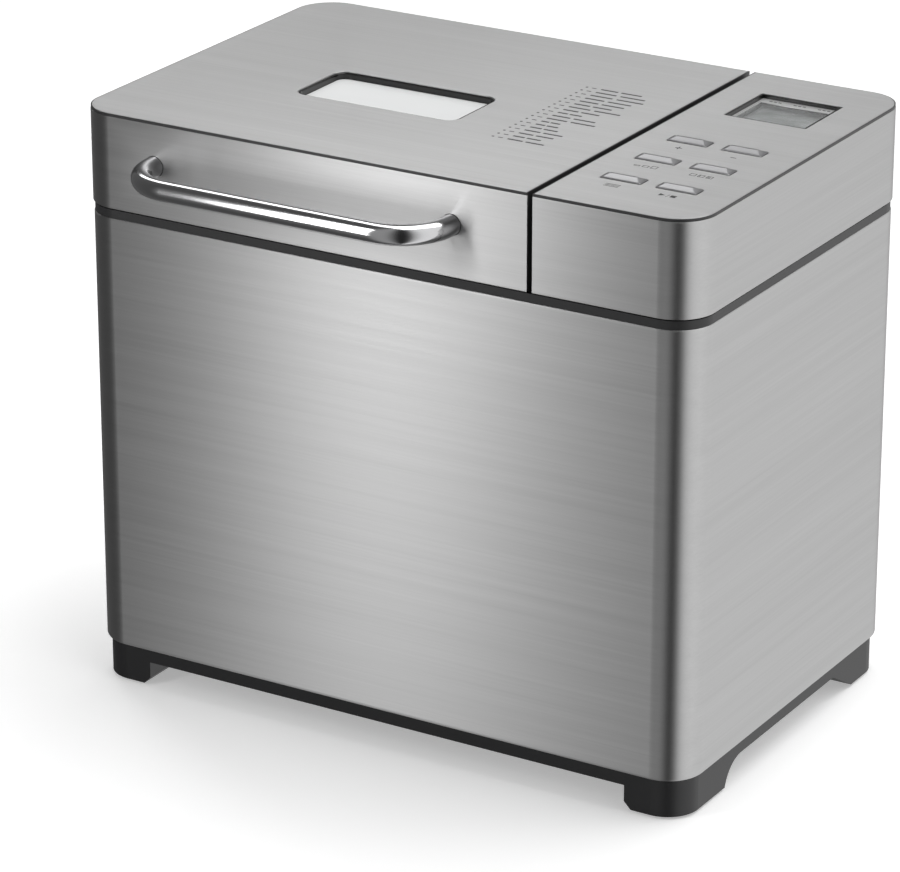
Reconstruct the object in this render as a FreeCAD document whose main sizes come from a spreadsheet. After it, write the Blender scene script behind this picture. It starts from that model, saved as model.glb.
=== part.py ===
import FreeCAD, Part
import math
import os
import re
import Sketcher

# Bread machine: a free-standing counter-top appliance with a steel body, a hinged lid on the left,
# a control housing on the right, and a lift-out baking pan driven from below.
#
# Axes: +X to the machine's right, +Y to its back, +Z up. The origin is under the middle of the whole
# object on the surface that it stands on. Inside each part, y = 0 is the middle of the body, and every
# part is shifted as one by body_shift, because the handle reaches further forward than the gland reaches
# back.

SIZES = {
    # Outer form
    "body_width": 362,
    "body_depth": 235,
    "body_height": 321,
    "corner_radius": 21,
    "handle_reach": 35.5,
    "rear_reach": 2.5,
    # Levels above the surface that the machine stands on
    "base_low": 1.5,
    "base_arch": 14.5,
    "base_floor": 17,
    "steel_low": 22,
    "steel_top": 264,
    "deck_plate": 266.3,
    "deck_rim": 268.7,
    "lid_low": 269.5,
    "wrap_top": 319.4,
    "skin_low": 317.3,
    # Sheet thicknesses and plastic walls
    "sheet_gauge": 0.8,
    "chassis_gauge": 1.2,
    "top_gauge": 1.2,
    "plastic_wall": 2.6,
    "steel_inset": 0.5,
    "seam_inset": 0.15,
    "rim_width": 0.7,
    "rim_drop": 0.2,
    "hem_width": 3,
    "back_seam": 158,
    # Split between the lid and the control housing
    "lid_right": 88,
    "housing_left": 91,
    # Base and feet
    "base_inset": 2.5,
    "base_wall": 6,
    "foot_side": 145,
    "foot_chamfer": 4,
    "front_foot_arch": -50,
    "front_foot_curve": 18,
    "rear_foot_arch": 56.5,
    "rear_foot_toe": 78.7,
    "rear_foot_heel": 103,
    "pad_radius": 9,
    "pad_depth": 2,
    "pad_side": 161,
    "front_pad": -92,
    "rear_pad": 90.8,
    # Hinge
    "hinge_inset": 5,
    "hinge_rise": 10,
    "hinge_left": -135,
    "hinge_right": 40,
    "post_width": 14,
    "post_radius": 4.5,
    "pin_radius": 2,
    "pin_length": 28,
    "pin_fit": 0.05,
    "notch_gap": 1.2,
    "notch_rise": 8,
    # Handle
    "handle_left": -132,
    "handle_right": 45,
    "handle_level": 297,
    "handle_radius": 5.5,
    "handle_bend": 27,
    "handle_screw": 2,
    # Window
    "window_left": -98,
    "window_right": -0.5,
    "window_front": -39,
    "window_back": 8,
    "window_corner": 7.5,
    "window_wall": 1.5,
    "window_drop": 3.7,
    "glass_gauge": 2,
    # Lid liner
    "liner_level": 302,
    "liner_gauge": 1,
    # Control panel
    "screen_left": 111.5,
    "screen_right": 158.5,
    "screen_front": 42.5,
    "screen_back": 86,
    "screen_drop": 2.2,
    "key_width": 22.5,
    "key_depth": 8.5,
    "key_rise": 0.5,
    "key_ridge": 1.5,
    "key_gap": 0.3,
    "left_keys": 118,
    "right_keys": 148.8,
    "back_keys": -5.7,
    "middle_keys": -39.5,
    "front_keys": -74.5,
    "board_level": 307,
    "board_gauge": 1.6,
    # Oven chamber
    "chamber_x": -46,
    "chamber_width": 212,
    "chamber_depth": 176,
    "chamber_floor": 48,
    "chamber_corner": 14,
    "chamber_flange": 6,
    # Baking pan
    "pan_low": 62,
    "pan_rim": 198,
    "pan_width": 180,
    "pan_depth": 130,
    "pan_corner": 24,
    "pan_draft": 4,
    "pan_gauge": 1.2,
    "pan_ring": 45,
    "bail_reach": 58,
    "bail_radius": 2,
    # Heating element
    "element_level": 60,
    "element_radius": 3.2,
    "element_gap": 8,
    "element_legs": 14,
    # Drive
    "shaft_radius": 4,
    "bush_radius": 6,
    "shaft_fit": 0.06,
    "belt_low": 26,
    "belt_high": 34,
    "belt_gauge": 2.2,
    "belt_gap": 0.3,
    "driven_radius": 45,
    "motor_pulley_radius": 7.5,
    "motor_x": 127,
    "motor_radius": 36,
    "motor_low": 44,
    "motor_high": 100,
    # Cord inlet
    "gland_x": 140,
    "gland_level": 48,
    "gland_neck": 8,
    "gland_flange": 11,
    "gland_bore": 3.5,
}

DOC = FreeCAD.newDocument("BreadMachine")
SHEET = DOC.addObject("Spreadsheet::Sheet", "Sizes")
for row, (alias, number) in enumerate(SIZES.items(), start=1):
    SHEET.set(f"A{row}", str(number))
    SHEET.setAlias(f"A{row}", alias)
DOC.recompute()

SIDE_NORMALS = {"XY": 1, "XZ": -1, "YZ": 1}
BODY_SHIFT = "(handle_reach - rear_reach) / 2"
HALF_WIDTH = "body_width / 2"
HALF_DEPTH = "body_depth / 2"
STEEL_WIDTH = "(body_width / 2 - steel_inset)"
STEEL_DEPTH = "(body_depth / 2 - steel_inset)"
STEEL_CORNER = "(corner_radius - steel_inset)"
HINGE_Y = "(body_depth / 2 - hinge_inset)"
HINGE_Z = "(lid_low + hinge_rise)"
CHAMBER_LEFT = "(chamber_x - chamber_width / 2)"
CHAMBER_RIGHT = "(chamber_x + chamber_width / 2)"
TOP_UNDERSIDE = "(body_height - top_gauge)"


# ---------------------------------------------------------------- helpers

def formula(text):
    """Give every alias in an expression the name of its sheet."""
    def with_sheet(word):
        return "Sizes." + word[0] if word[0] in SIZES else word[0]
    return re.sub(r"[a-z_][a-z_0-9]*", with_sheet, str(text))


def value(text):
    """The number that an expression has now."""
    return float(SHEET.evalExpression(formula(text)))


def new_body(name, x="0", y="0", z="0"):
    """A sub-part whose own origin is at x, y, z, with y counted from the middle of the body."""
    body = DOC.addObject("PartDesign::Body", name)
    body.Label = name
    body.setExpression(".Placement.Base.x", formula(x))
    body.setExpression(".Placement.Base.y", formula(f"{y} + {BODY_SHIFT}"))
    body.setExpression(".Placement.Base.z", formula(z))
    return body


def new_sketch(body, side, offset, outlines):
    """A sketch on one of the body's own origin planes, moved along the plane's normal."""
    sketch = body.newObject("Sketcher::SketchObject", body.Name + "_sketch")
    plane = next(item for item in body.Origin.OriginFeatures if item.Role == side + "_Plane")
    sketch.AttachmentSupport = (plane, [""])
    sketch.MapMode = "FlatFace"
    sketch.setExpression(".AttachmentOffset.Base.z", formula(offset))
    for outline in outlines:
        outline(sketch)
    return sketch


def fix(sketch, kind, geometry, point, text):
    """Hold one point of a sketch at a distance from its origin, along one of its axes."""
    index = sketch.addConstraint(Sketcher.Constraint(kind, -1, 1, geometry, point, value(text)))
    sketch.setExpression(f"Constraints[{index}]", formula(text))


def circle(x, y, radius):
    """A circle outline."""
    def draw(sketch):
        centre = FreeCAD.Vector(value(x), value(y), 0)
        ring = sketch.addGeometry(Part.Circle(centre, FreeCAD.Vector(0, 0, 1), value(radius)))
        fix(sketch, "DistanceX", ring, 3, x)
        fix(sketch, "DistanceY", ring, 3, y)
        index = sketch.addConstraint(Sketcher.Constraint("Radius", ring, value(radius)))
        sketch.setExpression(f"Constraints[{index}]", formula(radius))
    return draw


def polygon(points):
    """A closed outline of straight runs with sharp corners."""
    def draw(sketch):
        spots = [FreeCAD.Vector(value(x), value(y), 0) for x, y in points]
        runs = [sketch.addGeometry(Part.LineSegment(spots[i - 1], spots[i])) for i in range(len(points))]
        for i, run in enumerate(runs):
            following = runs[(i + 1) % len(runs)]
            sketch.addConstraint(Sketcher.Constraint("Coincident", run, 2, following, 1))
            fix(sketch, "DistanceX", run, 2, points[i][0])
            fix(sketch, "DistanceY", run, 2, points[i][1])
    return draw


def corner_arc(sketch, spot, before, after, radius):
    """An arc that rounds one right-angled corner, and the ends that meet the runs on each side."""
    size = value(radius)
    centre = spot - before * size + after * size
    angles = [math.atan2(-after.y, -after.x), math.atan2(before.y, before.x)]
    turns_left = before.cross(after).z > 0
    start, stop = angles if turns_left else reversed(angles)
    if stop < start:
        stop += 2 * math.pi
    ring = Part.Circle(centre, FreeCAD.Vector(0, 0, 1), size)
    arc = sketch.addGeometry(Part.ArcOfCircle(ring, start, stop))
    index = sketch.addConstraint(Sketcher.Constraint("Radius", arc, size))
    sketch.setExpression(f"Constraints[{index}]", formula(radius))
    return (arc, 1, 2) if turns_left else (arc, 2, 1)


def chain(points, radii, closed=True):
    """Level and upright runs with a radius at each corner; a corner whose radius is None is sharp."""
    def draw(sketch):
        spots = [FreeCAD.Vector(value(x), value(y), 0) for x, y in points]
        count = len(points)
        run_count = count if closed else count - 1
        ways = [(spots[(i + 1) % count] - spots[i]).normalize() for i in range(run_count)]
        setbacks = [value(radius) if radius else 0 for radius in radii]
        runs = []
        for i, way in enumerate(ways):
            j = (i + 1) % count
            start = spots[i] + way * setbacks[i]
            end = spots[j] - way * setbacks[j]
            run = sketch.addGeometry(Part.LineSegment(start, end))
            runs.append(run)
            upright = abs(way.x) < 0.5
            sketch.addConstraint(Sketcher.Constraint("Vertical" if upright else "Horizontal", run))
            fix(sketch, "DistanceX" if upright else "DistanceY", run, 1, points[i][0 if upright else 1])
        for i in range(0 if closed else 1, run_count):
            before, after = runs[i - 1], runs[i]
            if radii[i] is None:
                sketch.addConstraint(Sketcher.Constraint("Coincident", before, 2, after, 1))
                continue
            arc, first, last = corner_arc(sketch, spots[i], ways[i - 1], ways[i], radii[i])
            sketch.addConstraint(Sketcher.Constraint("Tangent", before, 2, arc, first))
            sketch.addConstraint(Sketcher.Constraint("Tangent", after, 1, arc, last))
        if not closed:
            ends = ((runs[0], 1, ways[0], points[0]), (runs[-1], 2, ways[-1], points[-1]))
            for run, point, way, spot in ends:
                upright = abs(way.x) < 0.5
                fix(sketch, "DistanceY" if upright else "DistanceX", run, point, spot[1 if upright else 0])
    return draw


def rectangle(left, right, low, high, radius=None, square=()):
    """A rectangle whose corners share a radius, apart from those on the sides named in square."""
    points = [(left, low), (right, low), (right, high), (left, high)]
    sides = ["left", "right", "right", "left"]
    radii = [None if side in square else radius for side in sides]
    return chain(points, radii)


def extrude(kind, body, side, low, high, outlines):
    """A pad or pocket between two levels along the axis that the side's plane faces."""
    offset = low if SIDE_NORMALS[side] > 0 else f"-({high})"
    sketch = new_sketch(body, side, offset, outlines)
    feature = body.newObject("PartDesign::" + kind, f"{body.Name}_{kind.lower()}")
    feature.Profile = sketch
    feature.setExpression("Length", formula(f"({high}) - ({low})"))
    feature.Reversed = kind == "Pocket"
    return feature


def pad(body, side, low, high, *outlines):
    """Material between two levels."""
    return extrude("Pad", body, side, low, high, outlines)


def pocket(body, side, low, high, *outlines):
    """A cut between two levels."""
    return extrude("Pocket", body, side, low, high, outlines)


def lathe(body, profile):
    """A solid turned about the body's own Z axis from a profile of radius and level."""
    sketch = new_sketch(body, "XZ", "0", [polygon(profile)])
    turned = body.newObject("PartDesign::Revolution", body.Name + "_turned")
    turned.Profile = sketch
    turned.ReferenceAxis = (sketch, ["V_Axis"])
    turned.Angle = 360
    return turned


def loft(body, kind, low, low_outline, high, high_outline):
    """A tapered solid, or a tapered cut, between two level outlines."""
    lower = new_sketch(body, "XY", low, [low_outline])
    upper = new_sketch(body, "XY", high, [high_outline])
    feature = body.newObject(f"PartDesign::{kind}Loft", body.Name + "_loft")
    feature.Profile = lower
    feature.Sections = [upper]
    feature.Ruled = True
    return feature


def bent_bar(body, level, path, section_side, section_offset, section):
    """A round bar swept along a path in the level plane."""
    spine = new_sketch(body, "XY", level, [path])
    profile = new_sketch(body, section_side, section_offset, [section])
    DOC.recompute()
    bar = body.newObject("PartDesign::AdditivePipe", body.Name + "_bar")
    bar.Profile = profile
    bar.Spine = (spine, [f"Edge{i + 1}" for i in range(len(spine.Shape.Edges))])
    return bar


def body_outline(inset, corner):
    """The plan of the lower body, moved in from its steel face."""
    half_width = f"{STEEL_WIDTH} - ({inset})"
    half_depth = f"{STEEL_DEPTH} - ({inset})"
    return rectangle(f"-({half_width})", half_width, f"-({half_depth})", half_depth, f"{corner} - ({inset})")


def lid_outline(inset, right_inset="0"):
    """The plan of the lid, moved in from its steel face, with square corners at the split."""
    depth = f"{HALF_DEPTH} - ({inset})"
    left = f"-({HALF_WIDTH} - ({inset}))"
    right = f"lid_right - ({right_inset})"
    return rectangle(left, right, f"-({depth})", depth, f"corner_radius - ({inset})", square=("right",))


def housing_outline(inset, left_inset="0"):
    """The plan of the control housing, with square corners at the split."""
    depth = f"{HALF_DEPTH} - ({inset})"
    left = f"housing_left + ({left_inset})"
    right = f"{HALF_WIDTH} - ({inset})"
    return rectangle(left, right, f"-({depth})", depth, f"corner_radius - ({inset})", square=("left",))


# ---------------------------------------------------------------- base and body

def base_tray():
    """The black plastic base: a shallow tray on four corner feet."""
    body = new_body("base_tray")
    pad(body, "XY", "base_low", "steel_low", body_outline("base_inset", STEEL_CORNER))
    pocket(body, "XY", "base_floor", "steel_low", body_outline("base_inset + base_wall", STEEL_CORNER))
    under = "base_low - 1"
    pocket(body, "YZ", "-body_width", "body_width", polygon([
        ("front_foot_arch", under), ("front_foot_arch", "base_arch"),
        ("rear_foot_arch", "base_arch"), ("rear_foot_toe", "base_low"), ("rear_foot_toe", under),
    ]))
    pocket(body, "YZ", "-body_width", "body_width",
           circle("front_foot_arch", "base_arch - front_foot_curve", "front_foot_curve"))
    pocket(body, "YZ", "-body_width", "body_width", polygon([
        ("rear_foot_heel", under), ("rear_foot_heel", "base_low"),
        (HALF_DEPTH, "base_low + (body_depth / 2 - rear_foot_heel)"), (HALF_DEPTH, under),
    ]))
    pocket(body, "XZ", "-body_depth", "body_depth", polygon([
        ("-foot_side - foot_chamfer", under), ("-foot_side - foot_chamfer", "base_low"),
        ("-foot_side", "base_low + foot_chamfer"), ("-foot_side", "base_arch"),
        ("foot_side", "base_arch"), ("foot_side", "base_low + foot_chamfer"),
        ("foot_side + foot_chamfer", "base_low"), ("foot_side + foot_chamfer", under),
    ]))
    pocket(body, "XY", under, "base_low + pad_depth", *foot_circles("pad_radius + 0.2"))
    pocket(body, "XY", "base_arch", "base_floor", *floor_slots())
    pocket(body, "XY", "base_arch", "base_floor", *screw_circles("2"))


def foot_circles(radius):
    """Circles at the four feet."""
    return [circle(x, y, radius) for x in ("-pad_side", "pad_side") for y in ("front_pad", "rear_pad")]


def floor_slots():
    """The air slots under the motor."""
    return [rectangle(f"92 + {8 * n}", f"96 + {8 * n}", "-26", "26", "1.9") for n in range(9)]


def screw_circles(radius):
    """Circles at the six screws that hold the chassis plate to the base."""
    return [circle(x, y, radius) for x in ("-120", "0", "120") for y in ("-70", "70")]


def rubber_feet():
    """Four rubber pads let into the feet."""
    body = new_body("rubber_feet")
    pad(body, "XY", "0", "base_low + pad_depth", *foot_circles("pad_radius"))


def chassis_plate():
    """The pressed plate in the tray that carries the chamber and the motor."""
    body = new_body("chassis_plate")
    top = "base_floor + chassis_gauge"
    pad(body, "XY", "base_floor", top, body_outline("base_inset + base_wall + 1", STEEL_CORNER))
    pocket(body, "XY", "base_floor", top, *floor_slots())
    pocket(body, "XY", "base_floor", top, *screw_circles("2"))


def base_screws():
    """Six screws up through the tray floor and the chassis plate."""
    body = new_body("base_screws")
    pad(body, "XY", "base_arch - 1.4", "base_arch", *screw_circles("3.4"))
    pad(body, "XY", "base_arch", "base_floor + chassis_gauge + 4", *screw_circles("1.8"))


def body_wrap():
    """The brushed steel wrap around the front and sides, hemmed in at its foot and flanged at its top."""
    body = new_body("body_wrap")
    pad(body, "XY", "steel_low", "steel_top", body_outline("0", STEEL_CORNER))
    pocket(body, "XY", "steel_low + sheet_gauge", "steel_top - sheet_gauge",
           body_outline("sheet_gauge", STEEL_CORNER))
    pocket(body, "XY", "steel_low", "steel_low + sheet_gauge",
           body_outline("sheet_gauge + hem_width", STEEL_CORNER))
    pocket(body, "XY", "steel_top - sheet_gauge", "steel_top",
           body_outline("sheet_gauge + hem_width + 1", STEEL_CORNER))
    pocket(body, "XY", "steel_low", "steel_top",
           rectangle("-back_seam", "back_seam", f"{STEEL_DEPTH} - sheet_gauge - hem_width - 2", HALF_DEPTH))


def back_panel():
    """The steel sheet that closes the back between the wrap's two edges."""
    body = new_body("back_panel")
    edge = "(back_seam - 0.3)"
    inner = f"({STEEL_DEPTH} - sheet_gauge)"
    pad(body, "XZ", inner, STEEL_DEPTH, rectangle(f"-{edge}", edge, "steel_low", "steel_top"))
    for low, high in (("steel_low", "steel_low + sheet_gauge"), ("steel_top - sheet_gauge", "steel_top")):
        pad(body, "XY", low, high, rectangle(f"-{edge}", edge, f"{inner} - hem_width", inner))
    pocket(body, "XZ", inner, STEEL_DEPTH, circle("gland_x", "gland_level", "gland_neck + 0.2"))
    slots = [rectangle(f"94 + {8 * n}", f"97 + {8 * n}", "165", "195", "1.4") for n in range(8)]
    pocket(body, "XZ", inner, STEEL_DEPTH, *slots)


def deck():
    """The black plastic deck around the chamber mouth; its rim is the dark band below the lid."""
    body = new_body("deck")
    pad(body, "XY", "steel_top", "deck_rim", body_outline("0.4", STEEL_CORNER))
    pocket(body, "XY", "deck_plate", "deck_rim", body_outline("5", STEEL_CORNER))
    pad(body, "XY", "steel_top", "deck_rim - 0.3", chamber_outline("4", "chamber_corner"))
    pocket(body, "XY", "steel_top", "deck_rim", chamber_outline("0.5", "chamber_corner"))
    pocket(body, "XY", "deck_plate", "deck_rim",
           rectangle("-body_width", "lid_right + 1", "body_depth / 2 - 22", "body_depth"))
    pocket(body, "XY", "steel_top", "deck_rim", rectangle("120", "150", "-12", "12", "4"))


def chamber_outline(outset, corner):
    """The plan of the oven chamber, moved out from its inner face."""
    half_depth = f"(chamber_depth / 2 + ({outset}))"
    return rectangle(f"{CHAMBER_LEFT} - ({outset})", f"{CHAMBER_RIGHT} + ({outset})",
                     f"-{half_depth}", half_depth, f"{corner} + ({outset})")


def hinge_posts():
    """Two posts on the deck whose knuckles hold the lid's pins."""
    body = new_body("hinge_posts")
    for middle in ("hinge_left", "hinge_right"):
        low = f"{middle} - post_width / 2"
        high = f"{middle} + post_width / 2"
        pad(body, "YZ", low, high,
            rectangle(f"{HINGE_Y} - post_radius", f"{HINGE_Y} + post_radius", "deck_plate", HINGE_Z))
        pad(body, "YZ", low, high, circle(HINGE_Y, HINGE_Z, "post_radius"))
        pocket(body, "YZ", low, high, circle(HINGE_Y, HINGE_Z, "pin_radius + pin_fit"))


# ---------------------------------------------------------------- oven chamber

def oven_chamber():
    """The open steel box that the pan stands in."""
    body = new_body("oven_chamber")
    gauge = "sheet_gauge"
    under = "chamber_floor - sheet_gauge"
    pad(body, "XY", under, "steel_top", chamber_outline(gauge, "chamber_corner"))
    pad(body, "XY", f"steel_top - {gauge}", "steel_top", chamber_outline("chamber_flange", "chamber_corner"))
    pocket(body, "XY", "chamber_floor", "steel_top", chamber_outline("0", "chamber_corner"))
    pocket(body, "XY", under, "chamber_floor", circle("chamber_x", "0", "bush_radius + 3"))
    legs = [circle(y, "element_level", "7") for y in ("-element_legs", "element_legs")]
    pocket(body, "YZ", CHAMBER_RIGHT, f"{CHAMBER_RIGHT} + {gauge}", circle("40", "120", "3.2"), *legs)


def chamber_posts():
    """Four posts between the chassis plate and the chamber floor."""
    body = new_body("chamber_posts")
    circles = [circle(f"chamber_x {sign} 88", y, "5") for sign in "-+" for y in ("-70", "70")]
    pad(body, "XY", "base_floor + chassis_gauge", "chamber_floor - sheet_gauge", *circles)


def heat_shield():
    """The plate that keeps the chamber's heat from the motor and the boards."""
    body = new_body("heat_shield")
    pad(body, "XY", "40", "250", rectangle("74", "75", "-100", "100"))
    pad(body, "XY", "40", "41", rectangle("75", "83", "-100", "100"))


def heating_element():
    """The sheathed element: one loop around the foot of the pan, with both legs through the wall."""
    body = new_body("heating_element")
    right = f"{CHAMBER_RIGHT} - element_gap"
    left = f"{CHAMBER_LEFT} + element_gap"
    side = "(chamber_depth / 2 - element_gap - 3)"
    tip = f"{CHAMBER_RIGHT} + 12"
    path = chain([(tip, "-element_legs"), (right, "-element_legs"), (right, f"-{side}"), (left, f"-{side}"),
                  (left, side), (right, side), (right, "element_legs"), (tip, "element_legs")],
                 [None, "element_gap - 0.5", "24", "24", "24", "24", "element_gap - 0.5", None], closed=False)
    section = circle("-element_legs", "element_level", "element_radius")
    bent_bar(body, "element_level", path, "YZ", tip, section)


def element_insulators():
    """Two ceramic bushings where the element passes through the chamber wall."""
    body = new_body("element_insulators")
    for y in ("-element_legs", "element_legs"):
        pad(body, "YZ", f"{CHAMBER_RIGHT} - 0.4", f"{CHAMBER_RIGHT} + 7",
            circle(y, "element_level", "7"), circle(y, "element_level", "element_radius + 0.3"))


def temperature_sensor():
    """The probe through the chamber wall, with its nut outside."""
    body = new_body("temperature_sensor")
    pad(body, "YZ", f"{CHAMBER_RIGHT} - 10", f"{CHAMBER_RIGHT} + 8", circle("40", "120", "3"))
    nut = [(f"40 + 6 * cos({60 * n})", f"120 + 6 * sin({60 * n})") for n in range(6)]
    pad(body, "YZ", f"{CHAMBER_RIGHT} + sheet_gauge", f"{CHAMBER_RIGHT} + 4", polygon(nut))


def bearing_block():
    """The cast block under the chamber that holds the drive bushes."""
    body = new_body("bearing_block", x="chamber_x")
    under = "chamber_floor - sheet_gauge"
    pad(body, "XY", f"{under} - 3", under, rectangle("-35", "35", "-35", "35", "8"))
    pad(body, "XY", f"{under} - 8.5", f"{under} - 3", circle("0", "0", "14"))
    pad(body, "XY", under, "chamber_floor + 2", circle("0", "0", "bush_radius + 2.7"))
    pocket(body, "XY", f"{under} - 8.5", "chamber_floor + 2", circle("0", "0", "bush_radius"))


def shaft_bushes():
    """Two bronze bushes in the bearing block."""
    body = new_body("shaft_bushes", x="chamber_x")
    rings = [circle("0", "0", "bush_radius"), circle("0", "0", "shaft_radius + shaft_fit")]
    pad(body, "XY", "chamber_floor - 9.3", "chamber_floor - 5", *rings)
    pad(body, "XY", "chamber_floor - 2.5", "chamber_floor + 2", *rings)


def pan_clips():
    """Two spring clips on the chamber floor that grip the ring under the pan."""
    body = new_body("pan_clips", x="chamber_x")
    for sign in ("", "-"):
        near = f"{sign}(pan_ring + 0.4)"
        wall = f"{sign}(pan_ring + 1.4)"
        toe = f"{sign}(pan_ring + 12)"
        pad(body, "XZ", "-8", "8", polygon([
            (near, "chamber_floor"), (near, "chamber_floor + 11"), (wall, "chamber_floor + 11"),
            (wall, "chamber_floor + 1"), (toe, "chamber_floor + 1"), (toe, "chamber_floor"),
        ]))


# ---------------------------------------------------------------- drive

def output_shaft():
    """The shaft through the chamber floor, with the two-winged dog on its top."""
    body = new_body("output_shaft", x="chamber_x")
    lathe(body, [("0", "21"), ("shaft_radius", "21"), ("shaft_radius", "chamber_floor + 2.4"),
                 ("7", "chamber_floor + 2.4"), ("7", "chamber_floor + 6"), ("0", "chamber_floor + 6")])
    pad(body, "XY", "chamber_floor + 2.4", "chamber_floor + 6", rectangle("-16", "16", "-3", "3"))


def ribbed_profile(radius, bore, hub, web_low, web_high):
    """Half the section of a pulley whose rim has V grooves for a ribbed belt."""
    grooves = 5
    low = value("belt_low") - 1
    high = value("belt_high") + 1
    pitch = (high - low) / (grooves + 1)
    rim = [(radius, f"{low}")]
    for n in range(grooves):
        middle = low + pitch * (n + 1)
        rim += [(radius, f"{middle - 0.5}"), (f"{radius} - 1.2", f"{middle}"), (radius, f"{middle + 0.5}")]
    rim.append((radius, f"{high}"))
    inner = f"{radius} - 5"
    upper = [(inner, f"{high}"), (inner, web_high), (hub, web_high), (hub, f"{high}"), (bore, f"{high}")]
    lower = [(bore, web_low), (inner, web_low), (inner, f"{low}")]
    return rim + upper + lower


def driven_pulley():
    """The large ribbed pulley on the output shaft."""
    body = new_body("driven_pulley", x="chamber_x")
    lathe(body, ribbed_profile("driven_radius", "shaft_radius", "10", "belt_low + 1", "belt_low + 4"))


def motor_pulley():
    """The small ribbed pulley on the motor shaft."""
    body = new_body("motor_pulley", x="motor_x")
    low = "belt_low - 1"
    high = "belt_high + 1"
    flange = "motor_pulley_radius + 1.5"
    lathe(body, [("shaft_radius", low), (flange, low), (flange, "belt_low - 0.4"),
                 ("motor_pulley_radius", "belt_low - 0.4"), ("motor_pulley_radius", "belt_high + 0.4"),
                 (flange, "belt_high + 0.4"), (flange, high), ("shaft_radius", high)])


def belt_loop(gap):
    """A loop around both pulleys, outside their rims by a gap: two arcs and two tangent runs."""
    def draw(sketch):
        ends = (("chamber_x", f"driven_radius + {gap}"), ("motor_x", f"motor_pulley_radius + {gap}"))
        spread = value("motor_x - chamber_x")
        lean = math.acos((value(ends[0][1]) - value(ends[1][1])) / spread)
        arcs = []
        for (x, radius), (start, stop) in zip(ends, ((lean, 2 * math.pi - lean), (-lean, lean))):
            ring = Part.Circle(FreeCAD.Vector(value(x), 0, 0), FreeCAD.Vector(0, 0, 1), value(radius))
            arc = sketch.addGeometry(Part.ArcOfCircle(ring, start, stop))
            fix(sketch, "DistanceX", arc, 3, x)
            fix(sketch, "DistanceY", arc, 3, "0")
            index = sketch.addConstraint(Sketcher.Constraint("Radius", arc, value(radius)))
            sketch.setExpression(f"Constraints[{index}]", formula(radius))
            arcs.append(arc)
        for big_end, small_end in ((1, 2), (2, 1)):
            line = Part.LineSegment(sketch.getPoint(arcs[0], big_end), sketch.getPoint(arcs[1], small_end))
            run = sketch.addGeometry(line)
            sketch.addConstraint(Sketcher.Constraint("Tangent", run, 1, arcs[0], big_end))
            sketch.addConstraint(Sketcher.Constraint("Tangent", run, 2, arcs[1], small_end))
    return draw


def drive_belt():
    """The ribbed belt from the motor to the output shaft."""
    body = new_body("drive_belt")
    pad(body, "XY", "belt_low", "belt_high", belt_loop("belt_gap + belt_gauge"), belt_loop("belt_gap"))


def motor_bracket():
    """The steel table over the belt that the motor stands on."""
    body = new_body("motor_bracket")
    under = "motor_low - 2"
    pad(body, "XY", under, "motor_low", rectangle("motor_x - 42", "motor_x + 42", "-52", "52", "3"))
    pocket(body, "XY", under, "motor_low", circle("motor_x", "0", "8.4"))
    for low, high in (("-52", "-50"), ("50", "52")):
        pad(body, "XY", "base_floor + chassis_gauge", under,
            rectangle("motor_x - 38", "motor_x + 38", low, high))


def motor_housing():
    """The motor's can, with a bearing boss below and above."""
    body = new_body("motor_housing", x="motor_x")
    bore = "shaft_radius + shaft_fit"
    inner = "motor_radius - 3"
    lathe(body, [(bore, "motor_low - 4"), ("8", "motor_low - 4"), ("8", "motor_low"),
                 ("motor_radius", "motor_low"), ("motor_radius", "motor_high"), ("8", "motor_high"),
                 ("8", "motor_high + 5"), (bore, "motor_high + 5"), (bore, "motor_high - 3"),
                 (inner, "motor_high - 3"), (inner, "motor_low + 3"), (bore, "motor_low + 3")])


def motor_rotor():
    """The motor's shaft and core."""
    body = new_body("motor_rotor", x="motor_x")
    core = "motor_radius - 6"
    lathe(body, [("0", "belt_low - 2"), ("shaft_radius", "belt_low - 2"), ("shaft_radius", "motor_low + 8"),
                 (core, "motor_low + 8"), (core, "motor_high - 8"), ("shaft_radius", "motor_high - 8"),
                 ("shaft_radius", "motor_high + 12"), ("0", "motor_high + 12")])


def motor_fan():
    """The cooling fan on top of the motor shaft."""
    body = new_body("motor_fan", x="motor_x")
    low = "motor_high + 6"
    lathe(body, [("shaft_radius", low), ("28", low), ("28", f"{low} + 1.5"), ("8", f"{low} + 1.5"),
                 ("8", f"{low} + 6"), ("shaft_radius", f"{low} + 6")])
    blade = pad(body, "XY", f"{low} + 1.5", f"{low} + 8", rectangle("9", "27", "-0.8", "0.8"))
    ring = body.newObject("PartDesign::PolarPattern", "motor_fan_blades")
    ring.Originals = [blade]
    ring.Axis = (blade.Profile[0], ["N_Axis"])
    ring.Angle = 360
    ring.Occurrences = 10
    body.Tip = ring


# ---------------------------------------------------------------- electrics in the body

def power_board():
    """The upright power board on four pillars from the right wall, with its tall components."""
    body = new_body("power_board")
    low = "168"
    high = "168 + board_gauge"
    pad(body, "YZ", low, high, rectangle("-70", "50", "125", "235"))
    wall = f"{STEEL_WIDTH} - sheet_gauge"
    pillars = [circle(y, z, "3") for y in ("-64", "44") for z in ("131", "229")]
    pad(body, "YZ", high, wall, *pillars)
    pad(body, "YZ", "142", low, rectangle("-55", "-20", "140", "180"))
    pad(body, "YZ", "150", low, rectangle("0", "12", "140", "170"), rectangle("20", "40", "190", "215"))
    pad(body, "YZ", "148", low, circle("-35", "205", "9"), circle("-8", "205", "7"))


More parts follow.
